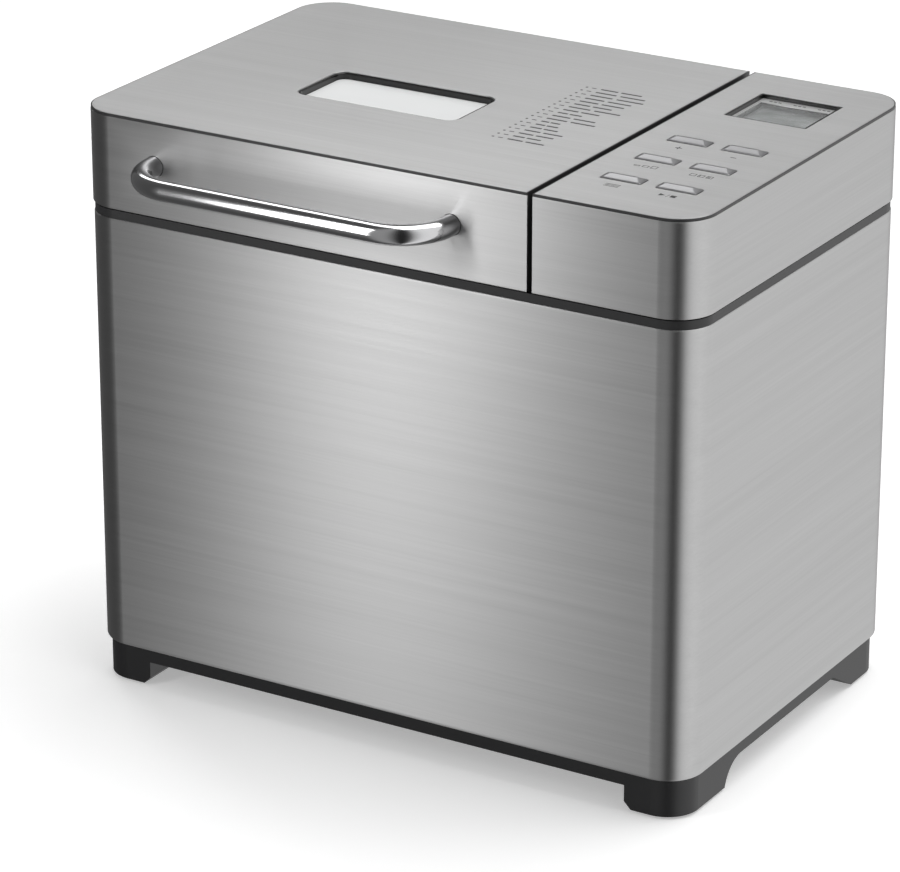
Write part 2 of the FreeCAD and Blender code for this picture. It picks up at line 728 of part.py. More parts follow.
def cord_gland():
    """The bushing that the mains cord enters through, with its nut inside the steel wall."""
    body = new_body("cord_gland")
    outer = f"{HALF_DEPTH} + rear_reach"
    wall = STEEL_DEPTH
    pad(body, "XZ", wall, outer, circle("gland_x", "gland_level", "gland_flange"))
    pad(body, "XZ", f"{wall} - 7", wall, circle("gland_x", "gland_level", "gland_neck"))
    nut = [(f"gland_x + 11 * cos({60 * n})", f"gland_level + 11 * sin({60 * n})") for n in range(6)]
    pad(body, "XZ", f"{wall} - 5", f"{wall} - sheet_gauge", polygon(nut))
    pocket(body, "XZ", f"{wall} - 8", f"{outer} + 1", circle("gland_x", "gland_level", "gland_bore"))


# ---------------------------------------------------------------- control housing

def split_wrap(name, outline, inner_outline):
    """A steel wrap that is open at the split, from the lid's level to the seam."""
    body = new_body(name)
    pad(body, "XY", "lid_low", "wrap_top", outline)
    pocket(body, "XY", "lid_low", "wrap_top", inner_outline)
    return body


def panel_wrap():
    """The steel wrap around the control housing."""
    split_wrap("panel_wrap", housing_outline("0"), housing_outline("sheet_gauge", "-5"))


def key_places():
    """The name and middle of each key."""
    rows = (("back_keys", ("key_plus", "key_minus")), ("middle_keys", ("key_size", "key_crust")),
            ("front_keys", ("key_menu", "key_start")))
    for row, names in rows:
        for column, name in zip(("left_keys", "right_keys"), names):
            yield name, column, row


def key_outline(x, y, grow):
    """The plan of a key, grown on every side."""
    half_width = f"(key_width / 2 + {grow})"
    half_depth = f"(key_depth / 2 + {grow})"
    return rectangle(f"{x} - {half_width}", f"{x} + {half_width}",
                     f"{y} - {half_depth}", f"{y} + {half_depth}")


def screen_outline(inset):
    """The plan of the screen opening, moved in."""
    return rectangle(f"screen_left + ({inset})", f"screen_right - ({inset})",
                     f"screen_front + ({inset})", f"screen_back - ({inset})")


def panel_frame():
    """The black inner housing of the controls; its rim shows as the dark line around the top plate."""
    body = new_body("panel_frame")
    inset = "sheet_gauge + 0.05"
    pad(body, "XY", "lid_low", "wrap_top", housing_outline(inset))
    pad(body, "XY", "wrap_top", "body_height - rim_drop", housing_outline("seam_inset"))
    pocket(body, "XY", TOP_UNDERSIDE, "body_height", housing_outline("rim_width", "rim_width"))
    pocket(body, "XY", "lid_low", "skin_low", housing_outline(f"{inset} + plastic_wall", "plastic_wall"))
    keys = [key_outline(x, y, "0.8") for name, x, y in key_places()]
    pocket(body, "XY", "skin_low", TOP_UNDERSIDE, screen_outline("-0.6"), *keys)
    bosses = [circle(x, y, "4") for x in ("101", "168") for y in ("-98", "98")]
    pad(body, "XY", "deck_plate", "skin_low", *bosses)
    stubs = [circle(x, y, "2.5") for x in ("101", "170") for y in ("-60", "60")]
    pad(body, "XY", "board_level + board_gauge", "skin_low", *stubs)


def panel_top_plate():
    """The steel plate on the control housing."""
    body = new_body("panel_top_plate")
    pad(body, "XY", TOP_UNDERSIDE, "body_height", housing_outline("rim_width", "rim_width"))
    keys = [key_outline(x, y, "key_gap") for name, x, y in key_places()]
    pocket(body, "XY", TOP_UNDERSIDE, "body_height", screen_outline("0"), *keys)


def screen_frame():
    """The frame that lines the screen opening and holds its lens."""
    body = new_body("screen_frame")
    pad(body, "XY", "board_level + 8.5", "body_height - 0.3", screen_outline("0.1"))
    pocket(body, "XY", "body_height - screen_drop", "body_height", screen_outline("1.4"))
    pocket(body, "XY", "board_level + 8.5", "body_height", screen_outline("4"))


def screen_lens():
    """The clear lens over the screen."""
    body = new_body("screen_lens")
    top = "body_height - screen_drop - 0.2"
    pad(body, "XY", f"{top} - 1", top, screen_outline("4.05"))


def screen_module():
    """The liquid crystal display under the lens."""
    body = new_body("screen_module")
    pad(body, "XY", "board_level + board_gauge", "board_level + 8", screen_outline("1"))


def control_board():
    """The board that the keys press against."""
    body = new_body("control_board")
    pad(body, "XY", "board_level", "board_level + board_gauge", rectangle("98", "174", "-90", "89", "2"))


def key_switches():
    """Six small press switches on the control board."""
    body = new_body("key_switches")
    top = "board_level + board_gauge"
    squares = [rectangle(f"{x} - 3", f"{x} + 3", f"{y} - 3", f"{y} + 3") for name, x, y in key_places()]
    pad(body, "XY", top, f"{top} + 3", *squares)
    pad(body, "XY", f"{top} + 3", f"{top} + 3.5", *[circle(x, y, "1.6") for name, x, y in key_places()])


def buzzer():
    """The sounder on the control board."""
    body = new_body("buzzer")
    top = "board_level + board_gauge"
    pad(body, "XY", top, f"{top} + 6", circle("160", "22", "6"))


def key(name, x, y):
    """One key: a ridged cap, a flange that stops it under the skin, and a stem over its switch."""
    body = new_body(name, x, y)
    cap = "(body_height + key_rise)"
    flange = "(skin_low - 1.3 - 1.5)"
    pad(body, "XY", flange, cap, key_outline("0", "0", "0"))
    pad(body, "XY", flange, f"{flange} + 1.5", key_outline("0", "0", "1.8"))
    pad(body, "XY", f"{flange} - 1", flange, circle("0", "0", "2"))
    ridge = rectangle("-(key_width / 2 - key_depth / 2)", "key_width / 2 - key_depth / 2", "-0.5", "0.5")
    loft(body, "Additive", cap, key_outline("0", "0", "0"), f"{cap} + key_ridge", ridge)


# ---------------------------------------------------------------- lid

def lid_wrap():
    """The steel wrap around the lid, with holes for the handle and notches for the hinge posts."""
    body = split_wrap("lid_wrap", lid_outline("0"), lid_outline("sheet_gauge", "-5"))
    front = f"-{HALF_DEPTH}"
    ends = [circle(x, "handle_level", "handle_radius + 0.2") for x in ("handle_left", "handle_right")]
    pocket(body, "XZ", front, f"{front} + 2", *ends)
    cut_hinge_notches(body)


def cut_hinge_notches(body):
    """Room for the hinge posts in a rear wall of the lid."""
    half = "(post_width / 2 + notch_gap)"
    top = f"{HINGE_Z} + notch_rise"
    notches = [rectangle(f"{middle} - {half}", f"{middle} + {half}", "lid_low - 1", top)
               for middle in ("hinge_left", "hinge_right")]
    pocket(body, "XZ", f"{HINGE_Y} - post_radius - 2", HALF_DEPTH, *notches)


def window_outline(inset):
    """The plan of the window, moved in from its opening in the top plate."""
    return rectangle(f"window_left + ({inset})", f"window_right - ({inset})",
                     f"window_front + ({inset})", f"window_back - ({inset})", f"window_corner - ({inset})")


def lid_frame():
    """The black inner frame of the lid; its rim shows as the dark line around the top plate."""
    body = new_body("lid_frame")
    inset = "sheet_gauge + 0.05"
    pad(body, "XY", "lid_low", "wrap_top", lid_outline(inset))
    pad(body, "XY", "wrap_top", "body_height - rim_drop", lid_outline("seam_inset"))
    pocket(body, "XY", TOP_UNDERSIDE, "body_height", lid_outline("rim_width", "rim_width"))
    pocket(body, "XY", "lid_low", "skin_low", lid_outline(f"{inset} + plastic_wall", "plastic_wall"))
    pocket(body, "XY", "skin_low", TOP_UNDERSIDE, window_outline("-0.1"))
    cut_hinge_notches(body)
    for middle in ("hinge_left", "hinge_right"):
        for low, high in ((f"{middle} - pin_length / 2", f"{middle} - post_width / 2 - notch_gap"),
                          (f"{middle} + post_width / 2 + notch_gap", f"{middle} + pin_length / 2")):
            pad(body, "YZ", low, high,
                rectangle(f"{HINGE_Y} - 5", f"{HALF_DEPTH} - 2", f"{HINGE_Z} - 5", f"{HINGE_Z} + 5", "1.5"))
            pocket(body, "YZ", low, high, circle(HINGE_Y, HINGE_Z, "pin_radius"))
    holes = [circle(x, "handle_level", "handle_screw + 0.1") for x in ("handle_left", "handle_right")]
    pocket(body, "XZ", f"-{HALF_DEPTH}", f"5 - {HALF_DEPTH}", *holes)
    posts = [circle(x, y, "4") for x in ("-163", "70") for y in ("-90", "90")]
    pad(body, "XY", "lid_low + 2 + liner_gauge", "skin_low", *posts)


def lid_top_plate():
    """The steel plate on the lid, open at the window."""
    body = new_body("lid_top_plate")
    pad(body, "XY", TOP_UNDERSIDE, "body_height", lid_outline("rim_width", "rim_width"))
    pocket(body, "XY", TOP_UNDERSIDE, "body_height", window_outline("0"))


def window_frame():
    """The black frame that lines the window from the top plate to the liner."""
    body = new_body("window_frame")
    seat = "body_height - window_drop"
    pad(body, "XY", "liner_level + glass_gauge", "body_height - 0.4", window_outline("0.1"))
    pocket(body, "XY", f"{seat} - glass_gauge", "body_height", window_outline("window_wall"))
    pocket(body, "XY", "liner_level", "body_height", window_outline("window_wall + 3"))


def window_glass():
    """The outer pane."""
    body = new_body("window_glass")
    seat = "body_height - window_drop"
    pad(body, "XY", f"{seat} - glass_gauge", seat, window_outline("window_wall + 0.05"))


def inner_glass():
    """The inner pane, on the liner."""
    body = new_body("inner_glass")
    pad(body, "XY", "liner_level", "liner_level + glass_gauge", window_outline("0.2"))


def lid_liner():
    """The pressed liner that closes the chamber: a flange around a shallow dome."""
    body = new_body("lid_liner")
    flange = "lid_low + 2"
    gauge = "liner_gauge"
    pad(body, "XY", flange, f"{flange} + {gauge}", chamber_outline("12", "chamber_corner"))
    pad(body, "XY", flange, "liner_level", chamber_outline(gauge, "chamber_corner"))
    pocket(body, "XY", flange, f"liner_level - {gauge}", chamber_outline("0", "chamber_corner"))
    pocket(body, "XY", f"liner_level - {gauge}", "liner_level", window_outline("4"))


def lid_seal():
    """The silicone ring between the liner and the deck."""
    body = new_body("lid_seal")
    pad(body, "XY", "deck_rim", "lid_low + 2",
        chamber_outline("6", "chamber_corner"), chamber_outline("1", "chamber_corner"))


def handle_bar():
    """The chrome bar: one bent rod whose ends turn back into the front of the lid."""
    body = new_body("handle_bar")
    wall = f"-({HALF_DEPTH} - sheet_gauge)"
    bar = f"-({HALF_DEPTH} + handle_reach - handle_radius)"
    path = chain([("handle_left", wall), ("handle_left", bar), ("handle_right", bar), ("handle_right", wall)],
                 [None, "handle_bend", "handle_bend", None], closed=False)
    section = circle("handle_left", "handle_level", "handle_radius")
    bent_bar(body, "handle_level", path, "XZ", f"-({wall})", section)
    holes = [circle(x, "handle_level", "handle_screw") for x in ("handle_left", "handle_right")]
    pocket(body, "XZ", f"{wall} - 10", wall, *holes)


def handle_screws():
    """Two screws from inside the lid into the ends of the handle."""
    body = new_body("handle_screws")
    wall = f"(sheet_gauge - {HALF_DEPTH})"
    inner = f"({wall} + 0.05 + plastic_wall)"
    spots = ("handle_left", "handle_right")
    pad(body, "XZ", f"{wall} - 9", inner, *[circle(x, "handle_level", "handle_screw") for x in spots])
    pad(body, "XZ", inner, f"{inner} + 2.5", *[circle(x, "handle_level", "4") for x in spots])


def hinge_pins():
    """Two steel pins fixed in the lid, each through one post."""
    body = new_body("hinge_pins")
    for middle in ("hinge_left", "hinge_right"):
        pad(body, "YZ", f"{middle} - pin_length / 2", f"{middle} + pin_length / 2",
            circle(HINGE_Y, HINGE_Z, "pin_radius"))


# ---------------------------------------------------------------- pan, bail and paddle

def pan_outline(outset):
    """The plan of the pan at its rim, moved out."""
    half_width = f"(pan_width / 2 + ({outset}))"
    half_depth = f"(pan_depth / 2 + ({outset}))"
    return rectangle(f"-{half_width}", half_width, f"-{half_depth}", half_depth, f"pan_corner + ({outset})")


def pan_shell():
    """The coated aluminium pan, drawn in towards its floor, with a rolled rim."""
    body = new_body("pan_shell", x="chamber_x")
    loft(body, "Additive", "pan_low", pan_outline("-pan_draft"), "pan_rim", pan_outline("0"))
    pad(body, "XY", "pan_rim - 3", "pan_rim", pan_outline("1.6"))
    loft(body, "Subtractive", "pan_low + pan_gauge", pan_outline("-pan_draft - pan_gauge"),
         "pan_rim", pan_outline("-pan_gauge"))
    pocket(body, "XY", "pan_low", "pan_low + pan_gauge", circle("0", "0", "7"))
    for sign in ("", "-"):
        side = f"{sign}(pan_width / 2 + 1)"
        far = f"{sign}(pan_width / 2 - 2)"
        low, high = (far, side) if sign == "" else (side, far)
        pad(body, "YZ", low, high, rectangle("-9", "9", "pan_rim - 1", "pan_rim + 9", "3"))
        pocket(body, "YZ", low, high, circle("0", "pan_rim + 4.5", "bail_radius + pin_fit"))


def pan_foot():
    """The ring under the pan that the clips grip."""
    body = new_body("pan_foot", x="chamber_x")
    rings = [circle("0", "0", "pan_ring"), circle("0", "0", "pan_ring - 2")]
    pad(body, "XY", "chamber_floor + 0.5", "pan_low", *rings)


def pan_bush():
    """The bushing through the pan floor."""
    body = new_body("pan_bush", x="chamber_x")
    bore = "shaft_radius + shaft_fit"
    lathe(body, [(bore, "pan_low - 4.6"), ("11", "pan_low - 4.6"), ("11", "pan_low"), ("7", "pan_low"),
                 ("7", "pan_low + 4"), (bore, "pan_low + 4")])


def pan_shaft():
    """The shaft through the pan floor; its top has a flat for the paddle."""
    body = new_body("pan_shaft", x="chamber_x")
    pad(body, "XY", "pan_low - 7.6", "pan_low + 22", circle("0", "0", "shaft_radius"))
    pocket(body, "XY", "pan_low + 5", "pan_low + 22", rectangle("-5", "5", "shaft_radius * 0.6", "6"))


def pan_coupler():
    """The two-lugged cup on the pan shaft that the dog turns."""
    body = new_body("pan_coupler", x="chamber_x")
    rings = [circle("0", "0", "18"), circle("0", "0", "shaft_radius")]
    pad(body, "XY", "pan_low - 7.6", "pan_low - 5.2", *rings)
    for low, high in (("9", "16"), ("-16", "-9")):
        pad(body, "XY", "pan_low - 11", "pan_low - 7.6", rectangle("-5", "5", low, high))


def pan_bail():
    """The wire carrying handle, folded forward onto the rim."""
    body = new_body("pan_bail", x="chamber_x", z="pan_rim + 4.5")
    leg = "(pan_width / 2 + 5)"
    path = chain([(f"8 - {leg}", "0"), (f"-{leg}", "0"), (f"-{leg}", "-bail_reach"), (leg, "-bail_reach"),
                  (leg, "0"), (f"{leg} - 8", "0")],
                 [None, "3.5", "16", "16", "3.5", None], closed=False)
    bent_bar(body, "0", path, "YZ", f"8 - {leg}", circle("0", "0", "bail_radius"))


def kneading_paddle():
    """The paddle: a capped hub with a flat in its bore, and one fin."""
    body = new_body("kneading_paddle", x="chamber_x")
    low = "pan_low + 5.2"
    pad(body, "XY", low, "pan_low + 26", circle("0", "0", "10"))
    pad(body, "XZ", "-2", "2", polygon([
        ("0", low), ("44", low), ("47", "pan_low + 12"), ("40", "pan_low + 30"), ("22", "pan_low + 33"),
        ("0", "pan_low + 26"),
    ]))
    pocket(body, "XY", low, "pan_low + 22.4", circle("0", "0", "shaft_radius + 0.1"))
    pad(body, "XY", low, "pan_low + 22.4", rectangle("-4", "4", "shaft_radius * 0.6 + 0.1", "6"))


def build():
    """Make every sub-part."""
    makers = [
        base_tray, rubber_feet, chassis_plate, base_screws, body_wrap, back_panel, deck, hinge_posts,
        oven_chamber, chamber_posts, heat_shield, heating_element, element_insulators, temperature_sensor,
        bearing_block, shaft_bushes, pan_clips, output_shaft, driven_pulley, drive_belt,
        motor_bracket, motor_housing, motor_rotor, motor_pulley, motor_fan, power_board, cord_gland,
        panel_wrap, panel_frame, panel_top_plate, screen_frame, screen_lens, screen_module,
        control_board, key_switches, buzzer,
        lid_wrap, lid_frame, lid_top_plate, window_frame, window_glass, inner_glass, lid_liner, lid_seal,
        handle_bar, handle_screws, hinge_pins,
        pan_shell, pan_foot, pan_bush, pan_shaft, pan_coupler, pan_bail, kneading_paddle,
    ]
    for make in makers:
        make()
    for name, x, y in key_places():
        key(name, x, y)
    DOC.recompute()


def check():
    """Stop if a feature failed, a cut removed nothing, or a sub-part's shape is not sound."""
    for item in DOC.Objects:
        if "Invalid" in item.State or "Error" in item.State:
            raise RuntimeError(f"{item.Label} failed: {item.State}")
        if item.TypeId in ("PartDesign::Pocket", "PartDesign::SubtractiveLoft"):
            removed = item.BaseFeature.Shape.Volume - item.Shape.Volume
            if removed < 0.01:
                raise RuntimeError(f"{item.Label} removed nothing")
    for body in sub_parts():
        if body.Shape.isNull() or not body.Shape.isValid() or not body.Shape.Solids:
            raise RuntimeError(f"{body.Label} has no sound shape")


def sub_parts():
    """Every sub-part of the document."""
    return [item for item in DOC.Objects if item.TypeId == "PartDesign::Body"]


build()
check()
os.makedirs("parts", exist_ok=True)
for body in sub_parts():
    body.Shape.exportStep(f"parts/{body.Label}.step")
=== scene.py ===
import math

import bmesh
import bpy
from mathutils import Euler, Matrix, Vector


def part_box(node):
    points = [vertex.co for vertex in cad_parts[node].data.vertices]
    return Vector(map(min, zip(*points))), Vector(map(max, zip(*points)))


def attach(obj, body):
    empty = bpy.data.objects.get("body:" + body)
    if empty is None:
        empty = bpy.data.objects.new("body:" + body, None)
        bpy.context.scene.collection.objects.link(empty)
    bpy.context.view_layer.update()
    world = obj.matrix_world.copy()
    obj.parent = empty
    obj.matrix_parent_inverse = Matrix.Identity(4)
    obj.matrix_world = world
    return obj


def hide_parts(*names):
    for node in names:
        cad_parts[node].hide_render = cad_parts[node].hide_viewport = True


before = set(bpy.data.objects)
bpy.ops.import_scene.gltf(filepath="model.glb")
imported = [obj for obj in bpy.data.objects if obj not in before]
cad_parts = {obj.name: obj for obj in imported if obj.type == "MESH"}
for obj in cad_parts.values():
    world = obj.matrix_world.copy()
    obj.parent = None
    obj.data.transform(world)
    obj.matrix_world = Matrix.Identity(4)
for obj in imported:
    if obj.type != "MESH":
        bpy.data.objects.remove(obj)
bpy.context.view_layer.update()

# The frame is in metres, with +X to the machine's right, +Y to its back and +Z up. The pieces below are
# drawn in millimetres, with y counted from the middle of the steel body; spot() turns one into the other.
MM = 0.001


def low(node):
    """A node's lowest corner at rest, in millimetres."""
    corner = Vector(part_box(node)[0]) / MM
    return Vector((corner.x, corner.y - MIDDLE, corner.z))


def high(node):
    """A node's highest corner at rest, in millimetres."""
    corner = Vector(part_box(node)[1]) / MM
    return Vector((corner.x, corner.y - MIDDLE, corner.z))


MIDDLE = (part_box("body_wrap")[0][1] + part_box("body_wrap")[1][1]) / 2 / MM


def opening(node):
    """The left, right, front and back of the opening that a lining sits in."""
    return (low(node).x - FRAME_PLAY, high(node).x + FRAME_PLAY,
            low(node).y - FRAME_PLAY, high(node).y + FRAME_PLAY)


def spot(x, y, z):
    """A place in the frame, from millimetres with y counted from the middle of the body."""
    return Vector((x, y + MIDDLE, z)) * MM


# Sizes that the boxes of the nodes don't give
CORNER = 21
SHEET = 0.8
STEEL_HEM = 3.8
STEEL_FLANGE = 4.8
WRAP_BACK_EDGE = 158
STEEL_STEPS = 20
PLATE_BEVEL = 0.25
FLAT_SHARP = 15
KEY_GAP = 0.3
KEY_FLANGE = 1.8
HANDLE_RADIUS = 5.5
HANDLE_BEND = 27
HANDLE_HOLE_GAP = 0.2
POST_HALF = 7
NOTCH_HALF = 8.2
NOTCH_RISE = 18
FRAME_PLAY = 0.1
WINDOW_CORNER = 7.5
SCREEN_CORNER = 0.8
PRINT_DEPTH = 0.03
SIGN_GAP = 8
KEYS = ("key_plus", "key_minus", "key_size", "key_crust", "key_menu", "key_start")

# ------------------------------------------------------------------ camera
CAMERA_AZIMUTH = math.radians(30.911)
CAMERA_ELEVATION = math.radians(21.673)
CAMERA_LENS = 178.8
CAMERA_PLACE = (1114.7, -1905.2, 1012.9)


def make_camera():
    """The camera at the photograph's viewing angle."""
    data = bpy.data.cameras.new("camera")
    data.lens = CAMERA_LENS
    data.sensor_width = 36.0
    data.clip_start = 0.05
    data.clip_end = 30
    camera = bpy.data.objects.new("camera", data)
    bpy.context.scene.collection.objects.link(camera)
    camera.location = spot(*CAMERA_PLACE)
    camera.rotation_euler = Euler((math.pi / 2 - CAMERA_ELEVATION, 0, CAMERA_AZIMUTH))
    bpy.context.scene.camera = camera


# ------------------------------------------------------------------ materials

class Nodes:
    """A short way to write a material's node tree."""

    def __init__(self, name):
        self.material = bpy.data.materials.new(name)
        self.material.use_nodes = True
        self.tree = self.material.node_tree
        self.shader = self.tree.nodes["Principled BSDF"]

    def add(self, kind, **inputs):
        """A node with its sockets set or linked; keys that are not sockets are its properties."""
        node = self.tree.nodes.new("ShaderNode" + kind)
        for key, setting in inputs.items():
            self.set(node, key, setting)
        return node

    def set(self, node, key, setting):
        """Set or link one socket, by its name or as in0, in1 and so on, or set one property."""
        socket = node.inputs.get(key.replace("_", " "))
        if key.startswith("in") and key[2:].isdigit():
            socket = node.inputs[int(key[2:])]
        if socket is None:
            setattr(node, key, setting)
        elif hasattr(setting, "is_linked"):
            self.tree.links.new(setting, socket)
        else:
            socket.default_value = setting

    def base(self, **inputs):
        """Settings of the surface shader."""
        for key, setting in inputs.items():
            self.set(self.shader, key, setting)

    def place(self, scale=(1, 1, 1)):
        """Object coordinates, stretched."""
        texture = self.add("TexCoord")
        mapping = self.add("Mapping", Scale=scale, Vector=texture.outputs["Object"])
        return mapping.outputs["Vector"]

    def noise(self, scale, detail=3.0, stretch=(1, 1, 1), roughness=0.5):
        """Noise in object space, from 0 to 1."""
        node = self.add("TexNoise", Vector=self.place(stretch), Scale=scale, Detail=detail,
                        Roughness=roughness)
        return node.outputs["Fac"]

    def between(self, amount, first, last, low_end=0.0, high_end=1.0):
        """A number that runs from first to last as amount runs from low_end to high_end."""
        node = self.add("MapRange", in0=amount, in1=low_end, in2=high_end, in3=first, in4=last)
        return node.outputs["Result"]

    def tint(self, amount, dark, light):
        """A colour between two."""
        node = self.add("Mix", data_type="RGBA")
        self.tree.links.new(amount, node.inputs[0])
        node.inputs[6].default_value = (*dark, 1)
        node.inputs[7].default_value = (*light, 1)
        return node.outputs[2]

    def bump(self, height, strength, distance):
        """A bump from a height."""
        return self.add("Bump", Height=height, Strength=strength, Distance=distance).outputs["Normal"]


def brushed_steel(name, shade):
    """Brushed stainless steel: fine scratches around the walls and across the top, and a highlight that is
    stretched across the scratches."""
    n = Nodes(name)
    around = n.add("TexCoord")
    sides = n.add("SeparateXYZ", Vector=around.outputs["Normal"])
    turned = n.add("Math", operation="ABSOLUTE", in0=sides.outputs["X"])

    def brushing(fine, along, detail, roughness):
        """Noise drawn out along X, or along Y where the surface faces sideways."""
        across_x = n.noise(1.0, detail, (along, fine, fine), roughness)
        across_y = n.noise(1.0, detail, (fine, along, fine), roughness)
        return n.add("Mix", data_type="FLOAT", in0=turned.outputs[0], in2=across_x, in3=across_y).outputs[0]

    scratches = brushing(900, 9, 4.0, 0.6)
    streaks = brushing(170, 2.2, 3.0, 0.6)
    tone = n.add("Math", operation="MULTIPLY_ADD", in0=streaks, in1=0.7, in2=scratches)
    colour = n.tint(n.between(tone.outputs[0], 0.0, 1.0, 0.55, 1.15),
                    (shade * 0.93,) * 3, (shade * 1.05,) * 3)
    n.base(Base_Color=colour, Metallic=1.0, Anisotropic=0.95, Anisotropic_Rotation=0.25,
           Roughness=n.between(scratches, 0.45, 0.50, 0.3, 0.7))
    cross = n.add("VectorMath", operation="CROSS_PRODUCT", in0=around.outputs["Normal"], in1=(0, 0, 1))
    along = n.add("VectorMath", operation="ADD", in0=cross.outputs[0], in1=(0.001, 0, 0))
    world = n.add("VectorTransform", vector_type="VECTOR", convert_from="OBJECT", convert_to="WORLD",
                  Vector=along.outputs[0])
    n.base(Tangent=world.outputs[0], Normal=n.bump(scratches, 0.06, 0.00002))
    return n.material


def plain(name, colour, roughness=0.4, metallic=0.0, grain=400.0, depth=0.00003, spread=0.12, **more):
    """A surface with a fine grain and a faint drift of tone and gloss."""
    n = Nodes(name)
    grain_noise = n.noise(grain, 3.0)
    drift = n.noise(18.0, 2.0)
    dark = tuple(c * (1 - spread) for c in colour)
    light = tuple(min(1.0, c * (1 + spread)) for c in colour)
    n.base(Base_Color=n.tint(drift, dark, light), Metallic=metallic,
           Roughness=n.between(grain_noise, roughness * 0.88, min(1.0, roughness * 1.12)),
           Normal=n.bump(grain_noise, 0.35, depth), **more)
    return n.material


def glass(name, colour, roughness, transmission):
    """Clear or milky glass with faint smears."""
    n = Nodes(name)
    smear = n.noise(30.0, 3.0, (1, 2.5, 1))
    n.base(Base_Color=n.tint(smear, tuple(c * 0.97 for c in colour), colour), IOR=1.5,
           Roughness=n.between(smear, roughness * 0.8, roughness * 1.25), Transmission_Weight=transmission)
    return n.material


def screen_grey(name):
    """The blank liquid crystal: grey, with soft pale clouds painted into its colour as reflections."""
    n = Nodes(name)
    # Painted reflections: this noise lightens the screen's colour in pale clouds, and it also varies the
    # gloss.
    painted_reflection_clouds = n.noise(26.0, 4.0, (1, 1.8, 1), 0.6)
    amount = n.between(painted_reflection_clouds, 0.0, 1.0, 0.38, 0.66)
    n.base(Base_Color=n.tint(amount, (0.30, 0.305, 0.30), (0.74, 0.75, 0.74)),
           Roughness=n.between(painted_reflection_clouds, 0.18, 0.3))
    return n.material


def make_looks():
    """One material for each kind of surface."""
    return {
        "steel": brushed_steel("brushed_steel", 0.62),
        "black": plain("black_plastic", (0.016, 0.016, 0.017), 0.36, grain=1400.0, depth=0.00004),
        "rim": plain("rim_plastic", (0.030, 0.030, 0.031), 0.30, grain=900.0),
        "gloss": plain("glossy_black", (0.008, 0.008, 0.008), 0.12, grain=300.0, depth=0.00001),
        "band": plain("band_plastic", (0.022, 0.022, 0.023), 0.36, grain=900.0),
        "chrome": plain("chrome", (0.66, 0.66, 0.67), 0.14, 1.0, grain=60.0, depth=0.000005, spread=0.02),
        "key": plain("key_metal", (0.27, 0.27, 0.275), 0.33, 1.0, grain=500.0, depth=0.00001, spread=0.04),
        "glass": glass("milky_glass", (0.90, 0.91, 0.91), 0.10, 0.10),
        "clear": glass("clear_glass", (0.95, 0.97, 0.97), 0.04, 0.92),
        "chamber": plain("chamber_coating", (0.17, 0.17, 0.175), 0.38, 0.6, grain=600.0),
        "zinc": plain("zinc_sheet", (0.50, 0.51, 0.52), 0.42, 0.9, grain=120.0, spread=0.2),
        "pan": plain("pan_coating", (0.045, 0.045, 0.048), 0.36, 0.3, grain=1200.0, depth=0.00004),
        "turned": plain("turned_steel", (0.55, 0.55, 0.56), 0.28, 1.0, grain=500.0),
        "bronze": plain("sintered_bronze", (0.45, 0.28, 0.12), 0.5, 0.8, grain=900.0),
        "rubber": plain("rubber", (0.012, 0.012, 0.012), 0.75, grain=700.0),
        "silicone": plain("silicone", (0.42, 0.42, 0.41), 0.55, grain=500.0),
        "ceramic": plain("ceramic", (0.75, 0.72, 0.66), 0.7, grain=400.0),
        "sheath": plain("element_sheath", (0.07, 0.055, 0.05), 0.5, 0.5, grain=500.0, spread=0.3),
        "board": plain("circuit_board", (0.02, 0.12, 0.05), 0.35, grain=200.0),
        "print": plain("black_print", (0.035, 0.035, 0.035), 0.55, grain=600.0),
        "screen": screen_grey("screen_grey"),
        "silver": plain("silver_trim", (0.70, 0.70, 0.70), 0.32, 0.6, grain=500.0),
        "nylon": plain("glass_filled_nylon", (0.05, 0.05, 0.05), 0.55, grain=500.0),
    }


NODE_LOOKS = {
    "steel": ["body_wrap", "back_panel", "lid_wrap", "panel_wrap", "lid_top_plate", "panel_top_plate"],
    "black": ["base_tray", "hinge_posts", "cord_gland", "key_switches", "buzzer"],
    "rim": ["lid_frame", "panel_frame"],
    "gloss": ["window_frame", "screen_frame"],
    "band": ["deck"],
    "chrome": ["handle_bar"],
    "key": list(KEYS),
    "glass": ["window_glass", "inner_glass"],
    "clear": ["screen_lens"],
    "chamber": ["oven_chamber", "lid_liner"],
    "zinc": ["chassis_plate", "chamber_posts", "heat_shield", "bearing_block", "motor_bracket",
             "motor_housing"],
    "pan": ["pan_shell", "pan_foot", "kneading_paddle"],
    "turned": ["base_screws", "temperature_sensor", "pan_clips", "output_shaft", "motor_rotor",
               "motor_pulley", "handle_screws", "hinge_pins", "pan_shaft", "pan_coupler", "pan_bail"],
    "bronze": ["shaft_bushes", "pan_bush"],
    "rubber": ["rubber_feet", "drive_belt"],
    "silicone": ["lid_seal"],
    "ceramic": ["element_insulators"],
    "sheath": ["heating_element"],
    "board": ["power_board", "control_board"],
    "screen": ["screen_module"],
    "nylon": ["driven_pulley", "motor_fan"],
}


def dress_nodes():
    """Give every CAD node its material."""
    for look, names in NODE_LOOKS.items():
        for name in names:
            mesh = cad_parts[name].data
            mesh.materials.clear()
            mesh.materials.append(LOOKS[look])


# ------------------------------------------------------------------ mesh helpers

def outline(left, right, front, back, radii, steps=14):
    """A rounded rectangle from its front left corner, as points that each carry the way outward."""
    corners = ((left, front, -1, -1, 180), (right, front, 1, -1, 270),
               (right, back, 1, 1, 0), (left, back, -1, 1, 90))
    points = []
    for (x, y, side_x, side_y, start), radius in zip(corners, radii):
        if not radius:
            points.append((x, y, side_x, side_y))
            continue
        for n in range(steps + 1):
            angle = math.radians(start + 90 * n / steps)
            way = (math.cos(angle), math.sin(angle))
            points.append((x + radius * (way[0] - side_x), y + radius * (way[1] - side_y), *way))
    return points


